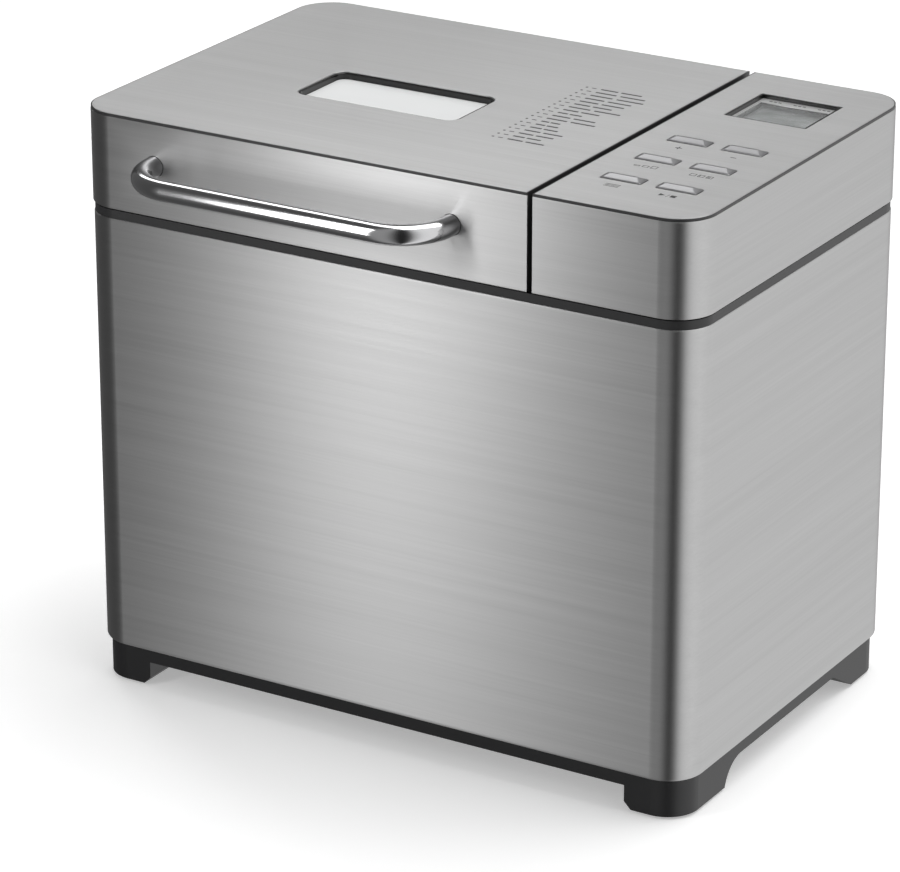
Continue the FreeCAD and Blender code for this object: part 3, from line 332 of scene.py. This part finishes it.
def moved(points, out):
    """The same outline, moved outward."""
    return [(x + way_x * out, y + way_y * out, way_x, way_y) for x, y, way_x, way_y in points]


def arc(centre_out, centre_level, radius, start, stop, steps=5):
    """Points of a profile around a rounded edge, by angle from outward."""
    angles = [math.radians(start + (stop - start) * n / steps) for n in range(steps + 1)]
    return [(centre_out + radius * math.cos(a), centre_level + radius * math.sin(a)) for a in angles]


def sew(mesh, first, second):
    """Quads between two rings of vertices."""
    count = len(first)
    for n in range(count):
        following = (n + 1) % count
        mesh.faces.new((first[n], first[following], second[following], second[n]))


def wall(path, profile, closed):
    """A solid swept along a level path; the profile is a closed ring of (outward, level)."""
    mesh = bmesh.new()
    rings = [[mesh.verts.new(spot(x + way_x * out, y + way_y * out, level)) for out, level in profile]
             for x, y, way_x, way_y in path]
    for first, second in zip(rings, rings[1:]):
        sew(mesh, first, second)
    if closed:
        sew(mesh, rings[-1], rings[0])
    else:
        mesh.faces.new(rings[0])
        mesh.faces.new(rings[-1])
    bmesh.ops.recalc_face_normals(mesh, faces=mesh.faces)
    return mesh


def stack(rings):
    """A solid through level rings that have the same number of points, closed at both ends."""
    mesh = bmesh.new()
    layers = [[mesh.verts.new(spot(x, y, level)) for x, y, *way in points] for points, level in rings]
    for first, second in zip(layers, layers[1:]):
        sew(mesh, first, second)
    mesh.faces.new(layers[0])
    mesh.faces.new(layers[-1])
    bmesh.ops.recalc_face_normals(mesh, faces=mesh.faces)
    return mesh


def plate(outer, holes, low_level, high_level, bevel):
    """A flat plate with holes, softened along its upper edges."""
    mesh = bmesh.new()
    tops, bottoms = [], []
    for points, inward in [(outer, -bevel)] + [(hole, bevel) for hole in holes]:
        layers = []
        for out, level in ((inward, high_level), (inward * 0.3, high_level - bevel * 0.3),
                           (0, high_level - bevel), (0, low_level)):
            layers.append([mesh.verts.new(spot(x, y, level)) for x, y, *way in moved(points, out)])
        for first, second in zip(layers, layers[1:]):
            sew(mesh, first, second)
        tops.append(layers[0])
        bottoms.append(layers[-1])
    for loops in (tops, bottoms):
        edges = [mesh.edges.get((loop[n - 1], loop[n])) for loop in loops for n in range(len(loop))]
        bmesh.ops.triangle_fill(mesh, use_beauty=True, edges=edges)
    bmesh.ops.recalc_face_normals(mesh, faces=mesh.faces)
    return mesh


def bent_path(points, bends, steps=14):
    """Points along straight runs with right-angled bends, each with the way along."""
    spots = [Vector(point) for point in points]
    path = [(spots[0], (spots[1] - spots[0]).normalized())]
    for n in range(1, len(spots) - 1):
        before = (spots[n] - spots[n - 1]).normalized()
        after = (spots[n + 1] - spots[n]).normalized()
        radius = bends[n - 1]
        centre = spots[n] - before * radius + after * radius
        for step in range(steps + 1):
            angle = math.pi / 2 * step / steps
            place = centre - after * radius * math.cos(angle) + before * radius * math.sin(angle)
            path.append((place, before * math.cos(angle) + after * math.sin(angle)))
    path.append((spots[-1], (spots[-1] - spots[-2]).normalized()))
    return path


def bar(path, radius, sides=28):
    """A round bar along a level path."""
    mesh = bmesh.new()
    rings = []
    for place, way in path:
        side = Vector((-way.y, way.x, 0))
        ring = []
        for n in range(sides):
            angle = 2 * math.pi * n / sides
            offset = side * math.cos(angle) * radius + Vector((0, 0, 1)) * math.sin(angle) * radius
            ring.append(mesh.verts.new(spot(*(place + offset))))
        rings.append(ring)
    for first, second in zip(rings, rings[1:]):
        sew(mesh, first, second)
    mesh.faces.new(rings[0])
    mesh.faces.new(rings[-1])
    bmesh.ops.recalc_face_normals(mesh, faces=mesh.faces)
    return mesh


def block(low_corner, high_corner):
    """A box between two corners, for cutting with."""
    x0, y0, z0 = low_corner
    x1, y1, z1 = high_corner
    ring = [(x0, y0), (x1, y0), (x1, y1), (x0, y1)]
    return stack([(ring, z0), (ring, z1)])


def loose_object(mesh, name):
    """An object made from a mesh in the making."""
    data = bpy.data.meshes.new(name)
    mesh.to_mesh(data)
    mesh.free()
    made = bpy.data.objects.new(name, data)
    bpy.context.scene.collection.objects.link(made)
    return made


def cut(mesh, cutters):
    """The mesh without the room that the cutters take."""
    target = loose_object(mesh, "to_cut")
    tools = [loose_object(cutter, "cutter") for cutter in cutters]
    for tool in tools:
        modifier = target.modifiers.new("cut", "BOOLEAN")
        modifier.operation = "DIFFERENCE"
        modifier.solver = "EXACT"
        modifier.object = tool
    shape = target.evaluated_get(bpy.context.evaluated_depsgraph_get())
    result = bmesh.new()
    result.from_mesh(shape.to_mesh())
    shape.to_mesh_clear()
    for item in [target, *tools]:
        data = item.data
        bpy.data.objects.remove(item)
        bpy.data.meshes.remove(data)
    return result


def add_piece(name, mesh, look, body, slot, *nodes, sharp=26):
    """A finished piece that rides on a body and stands for the nodes that it is given."""
    piece = loose_object(mesh, name)
    piece.data.shade_smooth()
    piece.data.set_sharp_from_angle(angle=math.radians(sharp))
    piece.data.materials.append(LOOKS[look])
    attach(piece, body)
    if nodes:
        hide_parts(*nodes)
    return piece


# ------------------------------------------------------------------ steel body, lid and control housing

def build_body_wrap():
    """The steel around the front and sides, rolled in at its foot."""
    left, right = low("body_wrap"), high("body_wrap")
    foot, top = left.z, right.z
    roll, lip = 2.2, 0.6
    radius = CORNER - (high("lid_wrap").y - right.y)
    around = outline(left.x, right.x, left.y, right.y, (radius,) * 4, steps=STEEL_STEPS)
    corner_points = STEEL_STEPS + 1
    rear_left, rear_right = around[-corner_points:], around[2 * corner_points:3 * corner_points]
    path = ([(-WRAP_BACK_EDGE, right.y, 0, 1)] + rear_left + around[:2 * corner_points] + rear_right
            + [(WRAP_BACK_EDGE, right.y, 0, 1)])
    profile = (arc(-lip, top - lip, lip, 90, 0, 3) + [(0, top - 1.2), (0, foot + roll + 0.6)]
               + arc(-roll, foot + roll, roll, 0, -90, 6) + [(-STEEL_HEM, foot), (-STEEL_HEM, foot + SHEET)]
               + arc(-roll, foot + roll, roll - SHEET, -90, 0, 4)
               + [(-SHEET, top - SHEET), (-STEEL_FLANGE, top - SHEET), (-STEEL_FLANGE, top)])
    add_piece("steel_wrap", wall(path, profile, False), "steel", "machine", "brushed_steel", "body_wrap")


def wrap_profile(foot, top):
    """The section of an upper wrap: a sheet with softened edges."""
    return [(-0.35, top), (-0.1, top - 0.1), (0, top - 0.35), (0, top - 0.8), (0, foot + 0.9),
            (0, foot + 0.45), (-0.13, foot + 0.13), (-0.4, foot), (-SHEET, foot), (-SHEET, top)]


def build_lid_wrap():
    """The steel around the lid, open at the split, with holes for the handle and the hinge posts."""
    left, right = low("lid_wrap"), high("lid_wrap")
    around = outline(left.x, right.x, left.y, right.y, (CORNER, 0, 0, CORNER), steps=STEEL_STEPS)
    corner_points = STEEL_STEPS + 1
    path = ([(right.x, right.y, 0, 1)] + around[corner_points + 2:] + around[:corner_points]
            + [(right.x, left.y, 0, -1)])
    mesh = wall(path, wrap_profile(left.z, right.z), False)
    cutters = []
    for x in HANDLE_ENDS:
        hole = bent_path([(x, left.y - 3, HANDLE_LEVEL), (x, left.y + 3, HANDLE_LEVEL)], [])
        cutters.append(bar(hole, HANDLE_RADIUS + HANDLE_HOLE_GAP, 32))
    for x in HINGE_MIDDLES:
        cutters.append(block((x - NOTCH_HALF, right.y - 3, left.z - 2),
                             (x + NOTCH_HALF, right.y + 2, left.z + NOTCH_RISE)))
    add_piece("lid_steel", cut(mesh, cutters), "steel", "lid", "brushed_steel", "lid_wrap")


def build_panel_wrap():
    """The steel around the control housing, open at the split."""
    left, right = low("panel_wrap"), high("panel_wrap")
    around = outline(left.x, right.x, left.y, right.y, (0, CORNER, CORNER, 0), steps=STEEL_STEPS)
    path = [(left.x, left.y, 0, -1)] + around[1:-1] + [(left.x, right.y, 0, 1)]
    mesh = wall(path, wrap_profile(left.z, right.z), False)
    add_piece("housing_steel", mesh, "steel", "machine", "brushed_steel", "panel_wrap")


def build_top_plates():
    """The two top plates, with their openings."""
    plate_corner = CORNER - (high("lid_wrap").y - high("lid_top_plate").y)
    left, right = low("lid_top_plate"), high("lid_top_plate")
    outer = outline(left.x, right.x, left.y, right.y, (plate_corner, 0, 0, plate_corner), steps=STEEL_STEPS)
    window = outline(*WINDOW, (WINDOW_CORNER,) * 4)
    mesh = plate(outer, [window], left.z, right.z, PLATE_BEVEL)
    add_piece("lid_plate", mesh, "steel", "lid", "brushed_steel", "lid_top_plate", sharp=FLAT_SHARP)
    left, right = low("panel_top_plate"), high("panel_top_plate")
    outer = outline(left.x, right.x, left.y, right.y, (0, plate_corner, plate_corner, 0), steps=STEEL_STEPS)
    holes = [outline(*SCREEN, (SCREEN_CORNER,) * 4, steps=4)]
    for key in KEYS:
        x, y = key_middle(key)
        half = Vector((KEY_SIZE[0] / 2 + KEY_GAP, KEY_SIZE[1] / 2 + KEY_GAP))
        holes.append(outline(x - half.x, x + half.x, y - half.y, y + half.y, (0.9,) * 4, steps=4))
    mesh = plate(outer, holes, left.z, right.z, PLATE_BEVEL)
    add_piece("housing_plate", mesh, "steel", "machine", "brushed_steel", "panel_top_plate", sharp=FLAT_SHARP)


def build_window():
    """The window's glossy lining and its two panes."""
    bottom, top = low("window_frame"), high("window_frame")
    pane_low, pane_top = low("window_glass").z, high("window_glass").z
    around = outline(*WINDOW, (WINDOW_CORNER,) * 4)
    profile = ([(-0.1, bottom.z), (-0.1, top.z - 0.3), (-0.4, top.z)]
               + arc(-1.0, top.z - 0.5, 0.5, 90, 180, 3)
               + [(-1.5, top.z - 1.2), (-1.5, pane_low), (-4.5, pane_low), (-4.5, bottom.z)])
    add_piece("window_lining", wall(around, profile, True), "gloss", "lid", "black_plastic", "window_frame")
    pane = plate(moved(around, -1.55), [], pane_low, pane_top, 0.4)
    add_piece("outer_pane", pane, "glass", "lid", "clear_glass", "window_glass", sharp=FLAT_SHARP)
    inner_low, inner_top = low("inner_glass").z, high("inner_glass").z
    pane = plate(moved(around, -0.2), [], inner_low, inner_top, 0.3)
    add_piece("inner_pane", pane, "glass", "lid", "clear_glass", "inner_glass", sharp=FLAT_SHARP)


def build_handle():
    """The bent chrome bar."""
    front = low("handle_bar").y + HANDLE_RADIUS
    wall_face = high("handle_bar").y
    left, right = HANDLE_ENDS
    corners = [(left, wall_face, HANDLE_LEVEL), (left, front, HANDLE_LEVEL), (right, front, HANDLE_LEVEL),
               (right, wall_face, HANDLE_LEVEL)]
    mesh = bar(bent_path(corners, (HANDLE_BEND,) * 2, 22), HANDLE_RADIUS, 40)
    add_piece("chrome_handle", mesh, "chrome", "lid", "chrome_bar", "handle_bar", sharp=40)


# ------------------------------------------------------------------ keys, screen and printing

def key_middle(key):
    """The middle of a key."""
    return (low(key).x + high(key).x) / 2, (low(key).y + high(key).y) / 2


def build_keys():
    """Six ridged key caps, each with its flange and stem."""
    for key in KEYS:
        x, y = key_middle(key)
        stem, ridge = low(key).z, high(key).z
        flange, skirt = stem + 1, ridge - 1.75
        wide, deep = KEY_SIZE[0] / 2, KEY_SIZE[1] / 2

        def ring(half_x, half_y, corner):
            return outline(x - half_x, x + half_x, y - half_y, y + half_y, (corner,) * 4, steps=4)

        rings = [
            (ring(2, 2, 1.9), stem), (ring(2, 2, 1.9), flange),
            (ring(wide + KEY_FLANGE, deep + KEY_FLANGE, 1.0), flange),
            (ring(wide + KEY_FLANGE, deep + KEY_FLANGE, 1.0), flange + 1.5),
            (ring(wide, deep, 0.6), flange + 1.5), (ring(wide, deep, 0.6), skirt),
            (ring(wide - 0.25, deep - 0.25, 0.5), skirt + 0.2),
            (ring(wide - 0.9, deep - 0.9, 0.4), skirt + 0.25),
            (ring(wide - 3.6, 0.75, 0.3), ridge - 0.12), (ring(wide - 3.75, 0.5, 0.2), ridge),
        ]
        add_piece(key + "_cap", stack(rings), "key", key, "key_chrome", key, sharp=18)


def build_screen():
    """The screen's silver strip, the ledge around its lens, and plain marks."""
    lens = high("screen_lens").z
    left, right, front, back = SCREEN
    strip = outline(left + 1.6, right - 1.6, back - 8.6, back - 1.6, (0.3,) * 4, steps=2)
    mesh = plate(strip, [], lens + 0.02, lens + 0.3, 0.08)
    add_piece("screen_strip", mesh, "silver", "machine", "screen_trim")
    ledge = [(left + 1.6, left + 4, front + 1.6, back - 8.7),
             (right - 4, right - 1.6, front + 1.6, back - 8.7),
             (left + 4.01, right - 4.01, front + 1.6, front + 4)]
    print_marks("screen_ledge", "machine", ledge, lens + 0.21, "silver", "screen_trim")
    marks = []
    for group in range(3):
        for mark in range(3):
            x = left + 7 + group * 14 + mark * 2.6
            marks.append((x, x + 1.7, back - 5.6, back - 4.7))
    print_marks("screen_marks", "machine", marks, lens + 0.3)


def print_marks(name, body, boxes, level, look="print", slot="black_plastic"):
    """Flat printed marks, as thin as ink, on a level surface."""
    mesh = bmesh.new()
    for left, right, front, back in boxes:
        add_mark(mesh, corners_of(left, right, front, back), level)
    add_piece(name, mesh, look, body, slot)


def add_mark(mesh, points, level):
    """One closed mark with a thickness of print."""
    layers = [[mesh.verts.new(spot(x, y, height)) for x, y in points]
              for height in (level, level + PRINT_DEPTH)]
    sew(mesh, *layers)
    mesh.faces.new(tuple(reversed(layers[0])))
    mesh.faces.new(layers[1])


def corners_of(left, right, front, back):
    """The corners of a rectangle, in order."""
    return [(left, front), (right, front), (right, back), (left, back)]


def circle_points(x, y, radius, sides):
    """Points around a circle."""
    angles = [2 * math.pi * n / sides for n in range(sides)]
    return [(x + radius * math.cos(a), y + radius * math.sin(a)) for a in angles]


def frame_boxes(left, right, front, back, line):
    """Four bars that draw a rectangle."""
    return [(left, right, front, front + line), (left, right, back - line, back),
            (left, left + line, front + line, back - line), (right - line, right, front + line, back - line)]


def sign_place(key):
    """The middle of the sign in front of a key."""
    x, y = key_middle(key)
    return x, y - KEY_SIZE[1] / 2 - SIGN_GAP


def build_printing():
    """Plain signs in front of the keys, and a plain list of programs as numbered bars."""
    level = high("panel_top_plate").z
    boxes = []
    x, y = sign_place("key_plus")
    boxes += [(x - 1.9, x + 1.9, y - 0.35, y + 0.35), (x - 0.35, x + 0.35, y + 0.35, y + 1.9),
              (x - 0.35, x + 0.35, y - 1.9, y - 0.35)]
    x, y = sign_place("key_minus")
    boxes += [(x - 1.6, x + 1.6, y - 0.35, y + 0.35)]
    x, y = sign_place("key_size")
    for n, height in enumerate((1.6, 2.7, 3.8)):
        boxes += frame_boxes(x - 6.3 + n * 4.6, x - 2.9 + n * 4.6, y - 2, y - 2 + height, 0.4)
    x, y = sign_place("key_crust")
    for n in range(3):
        left = x - 6.3 + n * 4.6
        boxes += frame_boxes(left, left + 3.4, y - 1.7, y + 1.7, 0.4)
        boxes += [(left + 0.75 + 0.85 * m, left + 1.1 + 0.85 * m, y - 1.1, y + 1.1) for m in range(n)]
    x, y = sign_place("key_menu")
    boxes += [(x - 4, x + 4, y + 1.5 - 1.6 * n, y + 2.0 - 1.6 * n) for n in range(3)]
    mesh = bmesh.new()
    for left, right, front, back in boxes:
        add_mark(mesh, corners_of(left, right, front, back), level)
    x, y = sign_place("key_start")
    add_mark(mesh, [(x - 4.6, y - 1.7), (x - 1.4, y), (x - 4.6, y + 1.7)], level)
    add_mark(mesh, [(x - 0.4, y - 1.8), (x - 0.1, y - 1.8), (x + 0.6, y + 1.8), (x + 0.3, y + 1.8)], level)
    add_mark(mesh, corners_of(x + 1.6, x + 4.6, y - 1.5, y + 1.5), level)
    add_piece("key_signs", mesh, "print", "machine", "black_plastic")

    mesh = bmesh.new()
    lengths = (24, 29, 31, 27, 26, 22, 30, 21, 14, 25, 28, 11, 13, 16, 22, 20, 16, 21)
    for n, length in enumerate(lengths):
        row = 48 - n * 5.7
        add_mark(mesh, circle_points(28.5, row, 0.75, 14), level)
        add_mark(mesh, corners_of(31.5, 34.2, row - 0.42, row + 0.42), level)
        start = 37.0
        for share in (0.42, 0.50):
            stop = start + length * share
            add_mark(mesh, corners_of(start, stop, row - 0.75, row + 0.75), level)
            start = stop + length * 0.08
    add_piece("program_list", mesh, "print", "lid", "black_plastic")


# ------------------------------------------------------------------ light and floor

def area_light(name, place, aim, size, power):
    """A soft card light that faces a point, both in millimetres."""
    data = bpy.data.lights.new(name, "AREA")
    data.shape = "RECTANGLE"
    data.size, data.size_y = (side * MM for side in size)
    data.energy = power
    light = bpy.data.objects.new(name, data)
    bpy.context.scene.collection.objects.link(light)
    light.location = spot(*place)
    light.rotation_euler = (spot(*aim) - spot(*place)).to_track_quat("-Z", "Y").to_euler()
    return light


def make_stage():
    """A plain white floor that the steel doesn't mirror."""
    mesh = bpy.data.meshes.new("floor")
    reach = 6.0
    mesh.from_pydata([(-reach, -reach, 0), (reach, -reach, 0), (reach, reach, 0), (-reach, reach, 0)], [],
                     [(0, 1, 2, 3)])
    floor = bpy.data.objects.new("floor", mesh)
    bpy.context.scene.collection.objects.link(floor)
    n = Nodes("floor_paper")
    n.base(Base_Color=n.tint(n.noise(3.0), (0.84, 0.84, 0.84), (0.88, 0.88, 0.88)), Roughness=0.95,
           Emission_Color=(1, 1, 1, 1), Emission_Strength=FLOOR_GLOW)
    mesh.materials.append(n.material)
    floor.visible_glossy = False


FLOOR_GLOW = 0.36
# Brightness of the room by the way it is seen in, in degrees to the right of the machine's front
ROOM = ((-180, 0.55), (-162, 0.34), (-145, 0.14), (-120, 0.12), (-60, 0.07), (-40, 0.08), (-28, 0.25),
        (-12, 0.34), (6, 0.35), (20, 0.07), (29, 0.015), (45, 0.02), (54, 0.45), (70, 0.98), (100, 0.98),
        (128, 0.90), (152, 1.0), (180, 0.55))


def make_world():
    """A studio that is dark behind the camera and bright at both sides and behind the machine."""
    world = bpy.data.worlds.new("studio")
    bpy.context.scene.world = world
    world.use_nodes = True
    tree = world.node_tree
    way = tree.nodes.new("ShaderNodeTexCoord")
    parts = tree.nodes.new("ShaderNodeSeparateXYZ")
    back = tree.nodes.new("ShaderNodeMath")
    back.operation = "MULTIPLY"
    back.inputs[1].default_value = -1
    turn = tree.nodes.new("ShaderNodeMath")
    turn.operation = "ARCTAN2"
    share = tree.nodes.new("ShaderNodeMapRange")
    share.inputs[1].default_value, share.inputs[2].default_value = -math.pi, math.pi
    ramp = tree.nodes.new("ShaderNodeValToRGB")
    ramp.color_ramp.interpolation = "B_SPLINE"
    stops = ramp.color_ramp.elements
    while len(stops) < len(ROOM):
        stops.new(0.5)
    for stop, (degrees, level) in zip(stops, ROOM):
        stop.position = (degrees + 180) / 360
        stop.color = (level, level, level, 1)
    tree.links.new(way.outputs["Generated"], parts.inputs[0])
    tree.links.new(parts.outputs["Y"], back.inputs[0])
    tree.links.new(parts.outputs["X"], turn.inputs[0])
    tree.links.new(back.outputs[0], turn.inputs[1])
    tree.links.new(turn.outputs[0], share.inputs[0])
    tree.links.new(share.outputs[0], ramp.inputs[0])
    tree.links.new(ramp.outputs[0], tree.nodes["Background"].inputs["Color"])


def make_lights():
    """A tall narrow card that the front mirrors, and a long card over the left of the top."""
    area_light("card_front", (-410, -820, 480), (-20, -117, 200), (150, 960), 2.2)
    area_light("card_top", (-480, 200, 1450), (-130, 0, 300), (360, 2200), 7.5)
    area_light("card_room", (500, 700, 2300), (0, 0, 0), (1600, 1600), 22)


# Places that the pieces share
HANDLE_LEVEL = (low("handle_bar").z + high("handle_bar").z) / 2
HANDLE_ENDS = (low("handle_bar").x + HANDLE_RADIUS, high("handle_bar").x - HANDLE_RADIUS)
HINGE_MIDDLES = (low("hinge_posts").x + POST_HALF, high("hinge_posts").x - POST_HALF)
WINDOW = opening("window_frame")
SCREEN = opening("screen_frame")
KEY_SIZE = (high("key_plus").x - low("key_plus").x - 2 * KEY_FLANGE,
            high("key_plus").y - low("key_plus").y - 2 * KEY_FLANGE)

bpy.context.scene.view_settings.view_transform = "Standard"
make_camera()
make_world()
make_lights()
make_stage()
LOOKS = make_looks()
dress_nodes()
build_body_wrap()
build_lid_wrap()
build_panel_wrap()
build_top_plates()
build_window()
build_handle()
build_keys()
build_screen()
build_printing()
